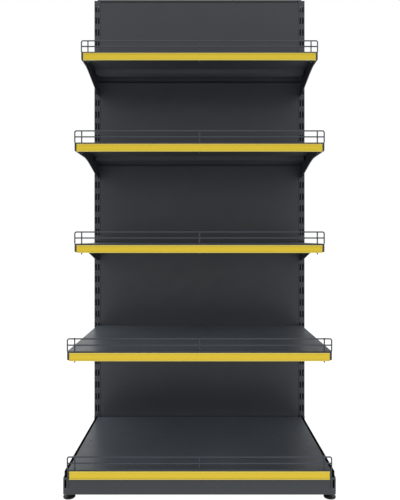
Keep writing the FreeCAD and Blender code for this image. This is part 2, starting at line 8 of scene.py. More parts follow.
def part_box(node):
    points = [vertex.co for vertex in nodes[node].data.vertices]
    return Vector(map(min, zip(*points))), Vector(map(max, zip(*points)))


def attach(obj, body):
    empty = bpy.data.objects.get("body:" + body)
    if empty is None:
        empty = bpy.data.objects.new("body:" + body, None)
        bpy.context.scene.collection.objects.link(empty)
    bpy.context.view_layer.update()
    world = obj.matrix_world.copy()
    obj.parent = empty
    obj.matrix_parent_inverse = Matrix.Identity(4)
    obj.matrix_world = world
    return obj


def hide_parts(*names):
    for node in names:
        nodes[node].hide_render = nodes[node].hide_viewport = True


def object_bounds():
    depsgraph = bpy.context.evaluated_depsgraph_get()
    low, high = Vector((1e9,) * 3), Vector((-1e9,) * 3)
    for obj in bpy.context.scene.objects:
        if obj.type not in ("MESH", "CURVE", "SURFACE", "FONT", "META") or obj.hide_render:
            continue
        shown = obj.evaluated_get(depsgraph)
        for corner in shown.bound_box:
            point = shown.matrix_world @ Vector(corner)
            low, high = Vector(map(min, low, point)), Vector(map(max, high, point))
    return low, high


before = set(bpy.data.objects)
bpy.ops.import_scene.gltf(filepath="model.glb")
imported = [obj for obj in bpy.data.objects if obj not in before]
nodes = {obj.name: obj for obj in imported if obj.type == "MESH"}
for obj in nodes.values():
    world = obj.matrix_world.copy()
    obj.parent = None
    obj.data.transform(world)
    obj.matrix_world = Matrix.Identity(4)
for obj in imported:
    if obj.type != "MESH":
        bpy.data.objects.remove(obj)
cad_low, cad_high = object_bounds()

# Sizes in metres. The goods side faces -Y, and +Z is up.
MM = 0.001
LEVELS = ("1", "2", "3", "4", "base")
CORNERS = ("front_left", "front_right", "rear_left", "rear_right")

# Guards. The nodes' wire has six sides, and reaches WIRE_CORNER from its middle. Heights are above the deck.
WIRE_RADIUS = 2.25 * MM
WIRE_CORNER = WIRE_RADIUS / math.cos(math.radians(30))
WIRE_ROUND_STEPS = 4
WIRE_BEND_STEPS = 6
WIRE_SMOOTH = 50
GUARD_BEND = 6.0 * MM
GUARD_SEAT = 0.3 * MM
GUARD_MIDDLE = 19.8 * MM
GUARD_LEG_INSET = 23.2 * MM
WELD_LENGTH = 2.4 * MM
WELD_WIDTH = 1.7 * MM
WELD_STEPS = (12, 8)

# Handle of a Bezier curve that follows a quarter circle of radius 1
ARC_HANDLE = 0.5523

# Ticket strips
TICKET_TRIM = 0.8 * MM
TICKET_CURL = 1.5 * MM
TICKET_WALL = 1.0 * MM
TICKET_LIP = 3.0 * MM
TICKET_LIP_TIP = 0.3 * MM
TICKET_OUTER_STEPS = 6
TICKET_INNER_STEPS = 4
TICKET_SMOOTH = 40

# Levelling pads. The rim is in mm inward from the outer radius and up, the neck in mm of radius and up.
PAD_RIM = ((0.5, 0.0), (0.15, 0.15), (0.0, 0.5), (0.0, 3.8), (0.5, 4.7), (1.6, 5.2), (4.5, 5.9))
PAD_NECK = ((13.5, 7.4), (11.0, 9.6), (9.9, 11.6), (9.5, 13.4), (9.0, 14.0))
PAD_TOP = 14.0 * MM
PAD_SOCKET_RADIUS = 5.3 * MM
PAD_SOCKET_FLOOR = 5.0 * MM
PAD_MIDDLE = 0.2 * MM
PAD_STEPS = 48
PAD_SMOOTH = 50

# Threaded stems. The ridge is in shares of the thread's depth and lead.
STEM_RADIUS = 5.0 * MM
STEM_POINT = 0.8 * MM
COLLAR_LOW = PAD_TOP
COLLAR_HIGH = 22.0 * MM
COLLAR_SIDES = 6
COLLAR_HALF = 8.5 * MM
COLLAR_CHAMFER = 0.8 * MM
THREAD_LEAD = 1.5 * MM
THREAD_DEPTH = 0.8 * MM
THREAD_STEPS = 20
THREAD_RIDGE = ((0.0, 0.0), (1.0, 0.35), (1.0, 0.5), (0.0, 0.85))
CORE_INSET = 0.02 * MM
CORE_OVERLAP = 0.1 * MM
CORE_POINT = 0.6 * MM
STEM_SMOOTH = 35

# Rail screws. The profile is in mm of radius and of height above the seat of the head.
SCREW_SHANK = ((1.9, -6.9), (2.15, -6.5), (2.15, 0.0))
SCREW_HEAD = ((3.55, 0.0), (3.6, 0.5), (3.4, 1.1), (2.8, 1.75), (2.1, 2.1), (1.5, 2.2))
SCREW_RECESS = ((1.4, 0.9),)
SCREW_HEAD_RADIUS = 3.6 * MM
SCREW_HEAD_HEIGHT = 2.2 * MM
SCREW_STEPS = 24
SCREW_SMOOTH = 40

# Inner folds of the rail and the back panels
PANEL_COUNT = 5
RAIL_SHEET = 1.5 * MM
FOLD_SHEET = 1.0 * MM
FOLD_END_INSET = 24.0 * MM
HEM_GAP = 0.4 * MM
HEM_HEIGHT = 9.0 * MM
LIP_GAP = 0.1 * MM
LIP_DROP = 9.0 * MM
LIP_RISE = 6.0 * MM

# Noise textures: scale per metre, and number of finer layers
CLOUD = (4.0, 5.0)
SATIN = (18.0, 4.0)
ORANGE_PEEL = (900.0, 2.0)
DRAWN_LINES = (60.0, 3.0)
PLASTIC_DUST = (40.0, 6.0)
PLASTIC_GRAIN = (1600.0, 2.0)
SPANGLE = (260.0, 4.0)
TURNING_MARKS = (900.0, 2.0)

# Noise values lie mostly between these two
NOISE_LOW = 0.3
NOISE_HIGH = 0.7

# Surface relief: depth and strength
ORANGE_PEEL_RELIEF = (0.06 * MM, 0.25)
LINE_RELIEF = (0.05 * MM, 0.15)
PLASTIC_RELIEF = (0.08 * MM, 0.4)
TURNING_RELIEF = (0.03 * MM, 0.3)

# Directions in which noise is stretched into lines
LINE_STRETCH = (0.05, 1.0, 12.0)
TURNING_STRETCH = (1.0, 1.0, 4.0)

# Roughness from the glossiest to the dullest places
SHEET_GLOSS = (0.32, 0.40)
FRAME_GLOSS = (0.34, 0.42)
WIRE_GLOSS = (0.40, 0.50)
TICKET_GLOSS = (0.32, 0.42)
PLASTIC_GLOSS = (0.42, 0.60)
ZINC_GLOSS = (0.22, 0.38)

# Strength of the clear reflection
SHEET_SPECULAR = 0.43
DECK_SPECULAR = 0.36
WIRE_SPECULAR = 0.25
PAD_SPECULAR = 0.4
TRIM_SPECULAR = 0.0
USUAL_SPECULAR = 0.5

# Colours
COAT = (0.0285, 0.0330, 0.0405)
COAT_MOTTLE = 0.08
FRAME_PALE = 1.12
WIRE_PALE = 1.65
# Painted light from below: paler undersides of the decks and of their ribs, paler still on the highest rib
UNDERSIDE_PAINTED_LIGHT = (0.0420, 0.0446, 0.0490)
RIB_PAINTED_LIGHT = (0.0455, 0.0490, 0.0550)
HIGH_RIB_MORE_LIGHT = 1.35
YELLOW = (0.68, 0.49, 0.008)
YELLOW_EDGE = (0.70, 0.56, 0.085)
# Painted shade: darker yellows for the strips high up
YELLOW_PAINTED_SHADE = (0.64, 0.470, 0.008)
YELLOW_EDGE_PAINTED_SHADE = (0.66, 0.535, 0.085)
PAD_BLACK = (0.008, 0.008, 0.0085)
TRIM_BLACK = (0.004, 0.004, 0.0042)
PLASTIC_DUSTY = 2.2
DUST_FROM = 0.45
DUST_TO = 0.75
ZINC_DULL = (0.42, 0.43, 0.45)
ZINC_BRIGHT = (0.62, 0.62, 0.61)
SCREW_DULL = (0.15, 0.155, 0.165)
SCREW_BRIGHT = (0.24, 0.24, 0.24)

# Painted light on top of the decks: how pale it makes them in front and at the back, and less of it on the
# right side, as painted shade
DECK_TOP_PAINTED_LIGHT = (0.0285, 0.0331, 0.0390)
LIT_TOP_FRONT = 2.3
LIT_TOP_BACK = 3.5
SHADED_RIGHT_FRONT = 1.0
SHADED_RIGHT_BACK = 2.1
DECK_FRONT_Y = -0.27
DECK_BACK_Y = 0.20
SHADED_RIGHT_FROM_X = 0.05
SHADED_RIGHT_TO_X = 0.42

# Duller right ends of the decks
DULL_FROM_X = 0.15
DULL_TO_X = 0.42
DULL_MORE = 0.14

# Rear flanges of the decks, with painted shade that goes dark between two depths below the top of the deck
DECK_PITCH = 0.35
FLANGE_Y = 0.2035
FLANGE_FADE = 1.0 * MM
FLANGE_SHADE_START = 0.013
FLANGE_SHADE_FULL = 0.0265
FLANGE_PALE = 1.2
FLANGE_PAINTED_SHADE = 0.02

# Faces that look up or down: from which rise of their normal, and from which one fully
LEVEL_FROM = 0.5
LEVEL_TO = 0.95

# Painted bounce light along the foot of a back panel, fading out with height
FOOT_PAINTED_LIGHT = (0.0620, 0.0695, 0.0800)
FOOT_LIGHT_FADE = 0.022
FOOT_LIGHT_WEAKER = 0.78

# Painted shade in a band under the rail's upper edge
RAIL_SHADE_LOW = 1.8702
RAIL_SHADE_HIGH = 1.8745
RAIL_SHADE_FADE = 0.0015
RAIL_SHADE_DARK = 0.1

# Ticket strips are paler along both edges, in shares of their height, and darker high up as painted shade
EDGE_TO = 0.05
BODY_FROM = 0.18
STRIP_SHADE_FROM_Z = 0.5
STRIP_SHADE_TO_Z = 1.1

# Camera
CAMERA_AT = (0.0, -1.9595, 0.8665)
CAMERA_LENS = 36.96
CAMERA_SHIFT = (0.001, -0.025)

# Studio light: strength before, behind and above the bay, and how it turns from front to back
STUDIO_WHITE = (1.0, 1.0, 1.0, 1.0)
FRONT_LIGHT = 0.66
BACK_LIGHT = 1.0
TOP_LIGHT = 1.25
TOP_FROM = 0.0
TOP_TO = 0.6
SIDE_TILT = 0.06
TURN_FROM = -0.2
TURN_TO = 0.4

# Studio floor, at the level of the pads' full reach
FLOOR_HALF = 30.0
FLOOR_TONE = (0.12, 0.12, 0.12, 1.0)
FLOOR_ROUGHNESS = 0.9
FLOOR_GLOW = 0.985
FLOOR_BOUNCE = 0.11
FLOOR_FAR_FROM = 9.0
FLOOR_FAR_TO = 26.0
FLOOR_BELOW = 15.2 * MM

# Shade on the floor under the bay: how far in from the part's box it is full, and where it ends in front
SHADE_FRONT_IN = 0.135
SHADE_FRONT_OUT = 0.090
SHADE_IN = 0.026


# Nodes of materials

def start_material(name, metallic=0.0, specular=USUAL_SPECULAR):
    """A new material with its node tree, its surface shader, and the place on the part at rest."""
    material = bpy.data.materials.new(name)
    material.use_nodes = True
    tree = material.node_tree
    shader = tree.nodes["Principled BSDF"]
    shader.inputs["Metallic"].default_value = metallic
    shader.inputs["Specular IOR Level"].default_value = specular
    place = tree.nodes.new("ShaderNodeTexCoord")
    return material, tree, shader, place.outputs["Object"]


def link_surface(tree, shader, colour, roughness):
    """Give a shader its colour and its roughness."""
    tree.links.new(colour, shader.inputs["Base Color"])
    tree.links.new(roughness, shader.inputs["Roughness"])


def noise(tree, place, scale, layers, stretch=None):
    """Noise value at a scale given per metre, stretched along some axes if asked."""
    texture = tree.nodes.new("ShaderNodeTexNoise")
    texture.inputs["Scale"].default_value = scale
    texture.inputs["Detail"].default_value = layers
    if stretch is not None:
        mapping = tree.nodes.new("ShaderNodeMapping")
        mapping.inputs["Scale"].default_value = stretch
        tree.links.new(place, mapping.inputs["Vector"])
        place = mapping.outputs["Vector"]
    tree.links.new(place, texture.inputs["Vector"])
    return texture.outputs["Fac"]


def ramp(tree, value, stops):
    """Colour that runs through stops of (place, colour) as a value goes from 0 to 1."""
    node = tree.nodes.new("ShaderNodeValToRGB")
    elements = node.color_ramp.elements
    while len(elements) < len(stops):
        elements.new(0.5)
    for element, (where, colour) in zip(elements, stops):
        element.position = where
        element.color = (*colour, 1.0)
    tree.links.new(value, node.inputs["Fac"])
    return node.outputs["Color"]


def map_range(tree, value, start, end, low, high):
    """Node that takes a value between start and end to a number between low and high."""
    node = tree.nodes.new("ShaderNodeMapRange")
    node.inputs["From Min"].default_value = start
    node.inputs["From Max"].default_value = end
    node.inputs["To Min"].default_value = low
    node.inputs["To Max"].default_value = high
    tree.links.new(value, node.inputs["Value"])
    return node


def span(tree, value, low, high):
    """A noise value spread between a low and a high number."""
    return map_range(tree, value, NOISE_LOW, NOISE_HIGH, low, high).outputs["Result"]


def level_between(tree, value, start, end, low=0.0, high=1.0):
    """A number that eases from low to high while a value goes from start to end."""
    node = map_range(tree, value, start, end, low, high)
    node.interpolation_type = "SMOOTHSTEP"
    return node.outputs["Result"]


def bump(tree, shader, height, depth, strength):
    """Surface relief from a height value."""
    node = tree.nodes.new("ShaderNodeBump")
    node.inputs["Distance"].default_value = depth
    node.inputs["Strength"].default_value = strength
    tree.links.new(height, node.inputs["Height"])
    tree.links.new(node.outputs["Normal"], shader.inputs["Normal"])


def calculate(tree, operation, first, second=None):
    """Result of a sum on one or two values, each of them a socket or a number."""
    node = tree.nodes.new("ShaderNodeMath")
    node.operation = operation
    for socket, value in zip(node.inputs, (first, second)):
        if isinstance(value, float):
            socket.default_value = value
        elif value is not None:
            tree.links.new(value, socket)
    return node.outputs["Value"]


def parts_of(tree, vector):
    """The X, Y and Z of a vector."""
    split = tree.nodes.new("ShaderNodeSeparateXYZ")
    tree.links.new(vector, split.inputs["Vector"])
    return split.outputs["X"], split.outputs["Y"], split.outputs["Z"]


def facing(tree):
    """How far a face looks up, and how far down: 0 on walls, 1 on level tops or undersides."""
    normal = tree.nodes.new("ShaderNodeNewGeometry").outputs["Normal"]
    rise = parts_of(tree, normal)[2]
    up = level_between(tree, rise, LEVEL_FROM, LEVEL_TO)
    down = level_between(tree, rise, -LEVEL_FROM, -LEVEL_TO)
    return up, down


def blend(tree, amount, first, second):
    """Colour between two others."""
    node = tree.nodes.new("ShaderNodeMix")
    node.data_type = "RGBA"
    tree.links.new(amount, node.inputs["Factor"])
    tree.links.new(first, node.inputs["A"])
    tree.links.new(second, node.inputs["B"])
    return node.outputs["Result"]


def shade(colour, factor):
    """A colour made lighter or darker."""
    return tuple(channel * factor for channel in colour)


def mottled(tree, cloud, colour):
    """A colour with faint cloudiness."""
    darker = shade(colour, 1.0 - COAT_MOTTLE)
    lighter = shade(colour, 1.0 + COAT_MOTTLE)
    return ramp(tree, cloud, [(NOISE_LOW, darker), (NOISE_HIGH, lighter)])


# Powder coats

def start_coat(name, gloss, specular):
    """Satin powder coat before it gets its colour, with an orange-peel grain.

    Gives the material, its tree, its shader, the place on the part, a cloudiness and an uneven roughness.
    """
    material, tree, shader, place = start_material(name, specular=specular)
    bump(tree, shader, noise(tree, place, *ORANGE_PEEL), *ORANGE_PEEL_RELIEF)
    cloud = noise(tree, place, *CLOUD)
    satin = span(tree, noise(tree, place, *SATIN), *gloss)
    return material, tree, shader, place, cloud, satin


def powder_coat(name, colour, gloss, specular):
    """Powder coat of one faintly cloudy colour."""
    material, tree, shader, _, cloud, satin = start_coat(name, gloss, specular)
    link_surface(tree, shader, mottled(tree, cloud, colour), satin)
    return material


def painted_top_light(tree, cloud, toward_back, front, back):
    """Painted light on a deck's top, of one strength in front and another at the back."""
    in_front = mottled(tree, cloud, shade(DECK_TOP_PAINTED_LIGHT, front))
    at_back = mottled(tree, cloud, shade(DECK_TOP_PAINTED_LIGHT, back))
    return blend(tree, toward_back, in_front, at_back)


def deck_top(tree, cloud, across, depth):
    """Colour on top of a deck: painted light, with painted shade toward the right."""
    toward_back = level_between(tree, depth, DECK_FRONT_Y, DECK_BACK_Y)
    lit_top = painted_top_light(tree, cloud, toward_back, LIT_TOP_FRONT, LIT_TOP_BACK)
    shaded_right = painted_top_light(tree, cloud, toward_back, SHADED_RIGHT_FRONT, SHADED_RIGHT_BACK)
    return blend(tree, level_between(tree, across, SHADED_RIGHT_FROM_X, SHADED_RIGHT_TO_X), lit_top, shaded_right)


def deck_walls(tree, cloud, depth, height):
    """Colour of a deck's upright faces, with painted shade on the rear flange that goes dark toward its lower
    edge.
    """
    below_highest = calculate(tree, "SUBTRACT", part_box("deck_1")[1].z, height)
    below_deck = calculate(tree, "MODULO", below_highest, DECK_PITCH)
    flange_shade = level_between(tree, below_deck, FLANGE_SHADE_START, FLANGE_SHADE_FULL)
    flange_upper = mottled(tree, cloud, shade(COAT, FLANGE_PALE))
    flange_shaded = mottled(tree, cloud, shade(COAT, FLANGE_PAINTED_SHADE))
    at_rear = level_between(tree, depth, FLANGE_Y - FLANGE_FADE, FLANGE_Y)
    return blend(tree, at_rear, mottled(tree, cloud, COAT), blend(tree, flange_shade, flange_upper, flange_shaded))


def deck_coat(name):
    """Powder coat of the decks: painted light on top and on the underside, painted shade on the rear flanges,
    and duller right ends.
    """
    material, tree, shader, place, cloud, satin = start_coat(name, FRAME_GLOSS, DECK_SPECULAR)
    across, depth, height = parts_of(tree, place)
    up, down = facing(tree)
    walls = deck_walls(tree, cloud, depth, height)
    tint = blend(tree, up, walls, deck_top(tree, cloud, across, depth))
    # Undersides get a paler colour: painted light
    tint = blend(tree, down, tint, mottled(tree, cloud, UNDERSIDE_PAINTED_LIGHT))
    dulled = level_between(tree, across, DULL_FROM_X, DULL_TO_X, 0.0, DULL_MORE)
    link_surface(tree, shader, tint, calculate(tree, "ADD", satin, dulled))
    return material


def panel_coat(name, deck, dust_and_painted_light):
    """Powder coat of a back panel, with painted bounce light along its foot just above a deck."""
    material, tree, shader, place, cloud, satin = start_coat(name, SHEET_GLOSS, SHEET_SPECULAR)
    height = parts_of(tree, place)[2]
    drop = calculate(tree, "SUBTRACT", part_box(deck)[1].z, height)
    # Painted bounce light, fading with height above the deck
    bounce_light = calculate(tree, "EXPONENT", calculate(tree, "DIVIDE", drop, FOOT_LIGHT_FADE))
    tint = blend(tree, bounce_light, mottled(tree, cloud, COAT), mottled(tree, cloud, dust_and_painted_light))
    link_surface(tree, shader, tint, satin)
    return material


def rail_coat(name):
    """Powder coat of the top rail, with a band of painted shade under its folded upper edge."""
    material, tree, shader, place, cloud, satin = start_coat(name, SHEET_GLOSS, SHEET_SPECULAR)
    height = parts_of(tree, place)[2]
    # Painted shade in a band below the folded upper edge
    above_low = level_between(tree, height, RAIL_SHADE_LOW - RAIL_SHADE_FADE, RAIL_SHADE_LOW)
    below_high = level_between(tree, height, RAIL_SHADE_HIGH + RAIL_SHADE_FADE, RAIL_SHADE_HIGH)
    seam = calculate(tree, "MULTIPLY", above_low, below_high)
    dark = mottled(tree, cloud, shade(COAT, RAIL_SHADE_DARK))
    link_surface(tree, shader, blend(tree, seam, mottled(tree, cloud, COAT), dark), satin)
    return material


# Plastics and zinc

def strip_tint(tree, across, body, edge):
    """Colour across a ticket strip, paler along its two edges."""
    stops = [(EDGE_TO, edge), (BODY_FROM, body), (1.0 - BODY_FROM, body), (1.0 - EDGE_TO, edge)]
    return ramp(tree, across, stops)


def ticket_plastic(name):
    """Yellow extruded plastic, paler along the two curled edges, darker high up as painted shade, with faint
    drawing lines.
    """
    material, tree, shader, place = start_material(name)
    across = parts_of(tree, place.node.outputs["Generated"])[2]
    height = parts_of(tree, place)[2]
    unshaded = strip_tint(tree, across, YELLOW, YELLOW_EDGE)
    shaded_high = strip_tint(tree, across, YELLOW_PAINTED_SHADE, YELLOW_EDGE_PAINTED_SHADE)
    tint = blend(tree, level_between(tree, height, STRIP_SHADE_FROM_Z, STRIP_SHADE_TO_Z), unshaded, shaded_high)
    lines = noise(tree, place, *DRAWN_LINES, stretch=LINE_STRETCH)
    link_surface(tree, shader, tint, span(tree, lines, *TICKET_GLOSS))
    bump(tree, shader, lines, *LINE_RELIEF)
    return material


def moulded_plastic(name, colour, specular):
    """Black moulded plastic with a fine spark-eroded grain and faint dust."""
    material, tree, shader, place = start_material(name, specular=specular)
    dust_and_painted_light = noise(tree, place, *PLASTIC_DUST)
    tint = ramp(tree, dust_and_painted_light, [(DUST_FROM, colour), (DUST_TO, shade(colour, PLASTIC_DUSTY))])
    link_surface(tree, shader, tint, span(tree, dust_and_painted_light, *PLASTIC_GLOSS))
    bump(tree, shader, noise(tree, place, *PLASTIC_GRAIN), *PLASTIC_RELIEF)
    return material


def zinc_plate(name, dull, bright):
    """Zinc-plated steel with a mottled lustre and fine turning marks."""
    material, tree, shader, place = start_material(name, metallic=1.0)
    spangle = noise(tree, place, *SPANGLE)
    tint = ramp(tree, spangle, [(NOISE_LOW, dull), (NOISE_HIGH, bright)])
    link_surface(tree, shader, tint, span(tree, spangle, *ZINC_GLOSS))
    bump(tree, shader, noise(tree, place, *TURNING_MARKS, stretch=TURNING_STRETCH), *TURNING_RELIEF)
    return material


coat_sheet = powder_coat("coat_sheet", COAT, SHEET_GLOSS, SHEET_SPECULAR)
coat_panel_4 = panel_coat("coat_panel_4", "deck_4", shade(FOOT_PAINTED_LIGHT, FOOT_LIGHT_WEAKER))
coat_panel_5 = panel_coat("coat_panel_5", "deck_base", FOOT_PAINTED_LIGHT)
coat_deck = deck_coat("coat_deck")
# Ribs under the decks, paler as painted light from below, the highest one more so
coat_rib_lit = powder_coat("coat_rib_lit", RIB_PAINTED_LIGHT, FRAME_GLOSS, SHEET_SPECULAR)
coat_high_rib_lit = powder_coat("coat_high_rib_lit", shade(RIB_PAINTED_LIGHT, HIGH_RIB_MORE_LIGHT), FRAME_GLOSS, SHEET_SPECULAR)
coat_rail = rail_coat("coat_rail")
coat_frame = powder_coat("coat_frame", shade(COAT, FRAME_PALE), FRAME_GLOSS, SHEET_SPECULAR)
coat_wire = powder_coat("coat_wire", shade(COAT, WIRE_PALE), WIRE_GLOSS, WIRE_SPECULAR)
yellow = ticket_plastic("ticket_plastic")
black = moulded_plastic("black_plastic", PAD_BLACK, PAD_SPECULAR)
black_trim = moulded_plastic("black_trim", TRIM_BLACK, TRIM_SPECULAR)
zinc = zinc_plate("zinc_steel", ZINC_DULL, ZINC_BRIGHT)
screw_steel = zinc_plate("screw_steel", SCREW_DULL, SCREW_BRIGHT)

# Material of each carried-over node, by the first start of a name that fits. The rest get coat_frame.
NODE_MATERIALS = (
    ("deck_stop", black_trim),
    ("deck_", coat_deck),
    ("pad_", black),
    ("top_rail_screws", screw_steel),
    ("top_rail", coat_rail),
    ("leveller_nuts", zinc),
    ("stem_", zinc),
    ("ticket_strip", yellow),
    ("guard_", coat_wire),
    ("back_panel_4", coat_panel_4),
    ("back_panel_5", coat_panel_5),
    ("back_panel", coat_sheet),
    ("plinth", coat_sheet),
    ("stiffener_1", coat_high_rib_lit),
    ("stiffener", coat_rib_lit),
)


def paint_node(name):
    """Give a carried-over node its material."""
    fitting = [material for start, material in NODE_MATERIALS if name.startswith(start)]
    mesh = nodes[name].data
    mesh.materials.clear()
    mesh.materials.append(fitting[0] if fitting else coat_frame)


# Mesh helpers

def finish_piece(piece, material, body):
    """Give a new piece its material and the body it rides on."""
    piece.data.materials.append(material)
    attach(piece, body)


def mesh_piece(name, shape):
    """New object from a finished bmesh."""
    mesh = bpy.data.meshes.new(name)
    shape.to_mesh(mesh)
    shape.free()
    piece = bpy.data.objects.new(name, mesh)
    bpy.context.scene.collection.objects.link(piece)
    return piece


def merge(shape, part):
    """Add a finished bmesh to another one."""
    holder = bpy.data.meshes.new("holder")
    part.to_mesh(holder)
    part.free()
    shape.from_mesh(holder)
    bpy.data.meshes.remove(holder)


def smooth(piece, angle_degrees):
    """Smooth shading, with edges sharper than an angle kept crisp."""
    piece.data.shade_smooth()
    piece.data.set_sharp_from_angle(angle=math.radians(angle_degrees))


def in_mm(profile):
    """A profile written in mm, in metres."""
    return [(radius * MM, height * MM) for radius, height in profile]


def turned(shape, profile, centre, steps):
    """Turn a profile of (radius, height) about an upright axis, closed at both ends."""
    rings = []
    for radius, height in profile:
        ring = []
        for step in range(steps):
            angle = 2 * math.pi * step / steps
            offset = Vector((radius * math.cos(angle), radius * math.sin(angle), height))
            ring.append(shape.verts.new(centre + offset))
        rings.append(ring)
    for lower, upper in zip(rings, rings[1:]):
        for step in range(steps):
            after = (step + 1) % steps
            shape.faces.new((lower[step], lower[after], upper[after], upper[step]))
    shape.faces.new(rings[0][::-1])
    shape.faces.new(rings[-1])


def drawn_across(name, outline, left, right):
    """New object from a closed (y, z) outline drawn out along X, closed at both ends."""
    shape = bmesh.new()
    ends = [[shape.verts.new((x, y, z)) for y, z in outline] for x in (left, right)]
    for index in range(len(outline)):
        after = (index + 1) % len(outline)
        shape.faces.new((ends[0][index], ends[0][after], ends[1][after], ends[1][index]))
    shape.faces.new(ends[0][::-1])
    shape.faces.new(ends[1])
    bmesh.ops.recalc_face_normals(shape, faces=shape.faces)
    return mesh_piece(name, shape)


# Guards: round wire frames with welded crossings

def wire_curve(name):
    """Empty curve that gives round wire."""
    curve = bpy.data.curves.new(name, "CURVE")
    curve.dimensions = "3D"
    curve.bevel_depth = WIRE_RADIUS
    curve.bevel_resolution = WIRE_ROUND_STEPS
    curve.resolution_u = WIRE_BEND_STEPS
    curve.use_fill_caps = True
    return curve


def straight_wire(curve, start, end):
    """Straight run of wire."""
    spline = curve.splines.new("POLY")
    spline.points.add(1)
    spline.points[0].co = (*start, 1.0)
    spline.points[1].co = (*end, 1.0)


def bent_wire(curve, corners, bend):
    """Run of wire from the first corner to the last, bent to a radius at those between."""
    path = [(corners[0], (corners[1] - corners[0]).normalized())]
    for index in range(1, len(corners) - 1):
        corner = corners[index]
        before = (corners[index - 1] - corner).normalized()
        after = (corners[index + 1] - corner).normalized()
        path.append((corner + before * bend, -before))
        path.append((corner + after * bend, after))
    path.append((corners[-1], (corners[-1] - corners[-2]).normalized()))
    spline = curve.splines.new("BEZIER")
    spline.bezier_points.add(len(path) - 1)
    reach = bend * ARC_HANDLE
    for point, (place, run) in zip(spline.bezier_points, path):
        point.co = place
        point.handle_left_type = "FREE"
        point.handle_right_type = "FREE"
        point.handle_left = place - run * reach
        point.handle_right = place + run * reach


def wire_shape(curve):
    """Mesh of a wire curve, as a bmesh."""
    holder = bpy.data.objects.new("wires", curve)
    bpy.context.scene.collection.objects.link(holder)
    bpy.context.view_layer.update()
    evaluated = holder.evaluated_get(bpy.context.evaluated_depsgraph_get())
    mesh = bpy.data.meshes.new_from_object(evaluated)
    bpy.data.objects.remove(holder)
    shape = bmesh.new()
    shape.from_mesh(mesh)
    bpy.data.meshes.remove(mesh)
    return shape


def add_weld(shape, at):
    """Flattened bead where two wires cross."""
    around, along = WELD_STEPS
    stand = Matrix.Translation(at) @ Matrix.Diagonal((WELD_LENGTH, WELD_WIDTH, WELD_LENGTH, 1.0))
    bmesh.ops.create_uvsphere(shape, u_segments=around, v_segments=along, radius=1.0, matrix=stand)


def make_guard(level):
    """One guard, with round wire in place of the node's flat-sided wire."""
    node = "guard_" + level
    low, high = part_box(node)
    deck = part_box("deck_" + level)[1]
    frame_y = low.y + WIRE_CORNER
    leg_y = high.y - WIRE_CORNER
    side = high.x - WIRE_RADIUS
    top = high.z - WIRE_RADIUS
    seat = deck.z + GUARD_SEAT
    middle = deck.z + GUARD_MIDDLE
    leg_x = deck.x - GUARD_LEG_INSET
    curve = wire_curve("guard_wires_" + level)
    hoop = [(-side, seat), (-side, top), (side, top), (side, seat)]
    bent_wire(curve, [Vector((x, frame_y, z)) for x, z in hoop], GUARD_BEND)
    straight_wire(curve, (-side, frame_y, middle), (side, frame_y, middle))
    welds = [Vector((x, frame_y, middle)) for x in (-side, side)]
    for x in (-leg_x, 0.0, leg_x):
        straight_wire(curve, (x, leg_y, low.z), (x, leg_y, high.z))
        for z in (middle, top):
            welds.append(Vector((x, (leg_y + frame_y) / 2, z)))
    shape = wire_shape(curve)
    for at in welds:
        add_weld(shape, at)
    piece = mesh_piece("wire_guard_" + level, shape)
    smooth(piece, WIRE_SMOOTH)
    finish_piece(piece, coat_wire, node)
    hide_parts(node)


# Ticket strips: extruded profile with curled edges

def arc_points(centre, radius, start_degrees, end_degrees, steps):
    """Points of an arc in (y, z)."""
    points = []
    for step in range(steps + 1):
        angle = math.radians(start_degrees + (end_degrees - start_degrees) * step / steps)
        points.append((centre[0] + radius * math.cos(angle), centre[1] + radius * math.sin(angle)))
    return points


def curled_edge(front, back, edge, inward):
    """(y, z) points of a strip's edge at a height, from its back around the curl to the inside.

    Inward is -1 at the upper edge and 1 at the lower one.
    """
    centre = (front + TICKET_CURL, edge + inward * TICKET_CURL)
    lip = edge + inward * TICKET_LIP
    quarter, half = -inward * 90, -inward * 180
    points = [(back, edge)]
    points += arc_points(centre, TICKET_CURL, quarter, half, TICKET_OUTER_STEPS)
    points += [(front, lip)]
    points += [(front + TICKET_LIP_TIP, lip + inward * TICKET_LIP_TIP)]
    points += [(front + TICKET_WALL, lip)]
    points += arc_points(centre, TICKET_CURL - TICKET_WALL, half, quarter, TICKET_INNER_STEPS)
    points += [(back - TICKET_WALL, edge + inward * TICKET_WALL)]
    return points


def make_ticket_strip(level):
    """One ticket strip with rounded curls and square-cut ends."""
    node = "ticket_strip_" + level
    low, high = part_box(node)
    upper = curled_edge(low.y, high.y, high.z, -1)
    lower = curled_edge(low.y, high.y, low.z + TICKET_TRIM, 1)
    piece = drawn_across("ticket_" + level, upper + lower[::-1], low.x, high.x)
    smooth(piece, TICKET_SMOOTH)
    finish_piece(piece, yellow, "deck_" + level)
    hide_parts(node)


# Levelling feet: moulded pads and threaded stems

def axis_of(low, high):
    """Point at floor level in the middle of a box."""
    return Vector(((low.x + high.x) / 2, (low.y + high.y) / 2, 0.0))


def make_pad(corner):
    """Moulded pad with rounded rims, a waisted neck and a socket for the stem."""
    node = "pad_" + corner
    low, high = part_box(node)
    radius = (high.x - low.x) / 2
    profile = [(radius - inset, height) for inset, height in in_mm(PAD_RIM)]
    profile += in_mm(PAD_NECK)
    profile += [(PAD_SOCKET_RADIUS, PAD_TOP)]
    profile += [(PAD_SOCKET_RADIUS, PAD_SOCKET_FLOOR), (PAD_MIDDLE, PAD_SOCKET_FLOOR)]
    shape = bmesh.new()
    turned(shape, profile, axis_of(low, high), PAD_STEPS)
    piece = mesh_piece("level_pad_" + corner, shape)
    smooth(piece, PAD_SMOOTH)
    finish_piece(piece, black, node)
    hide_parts(node)


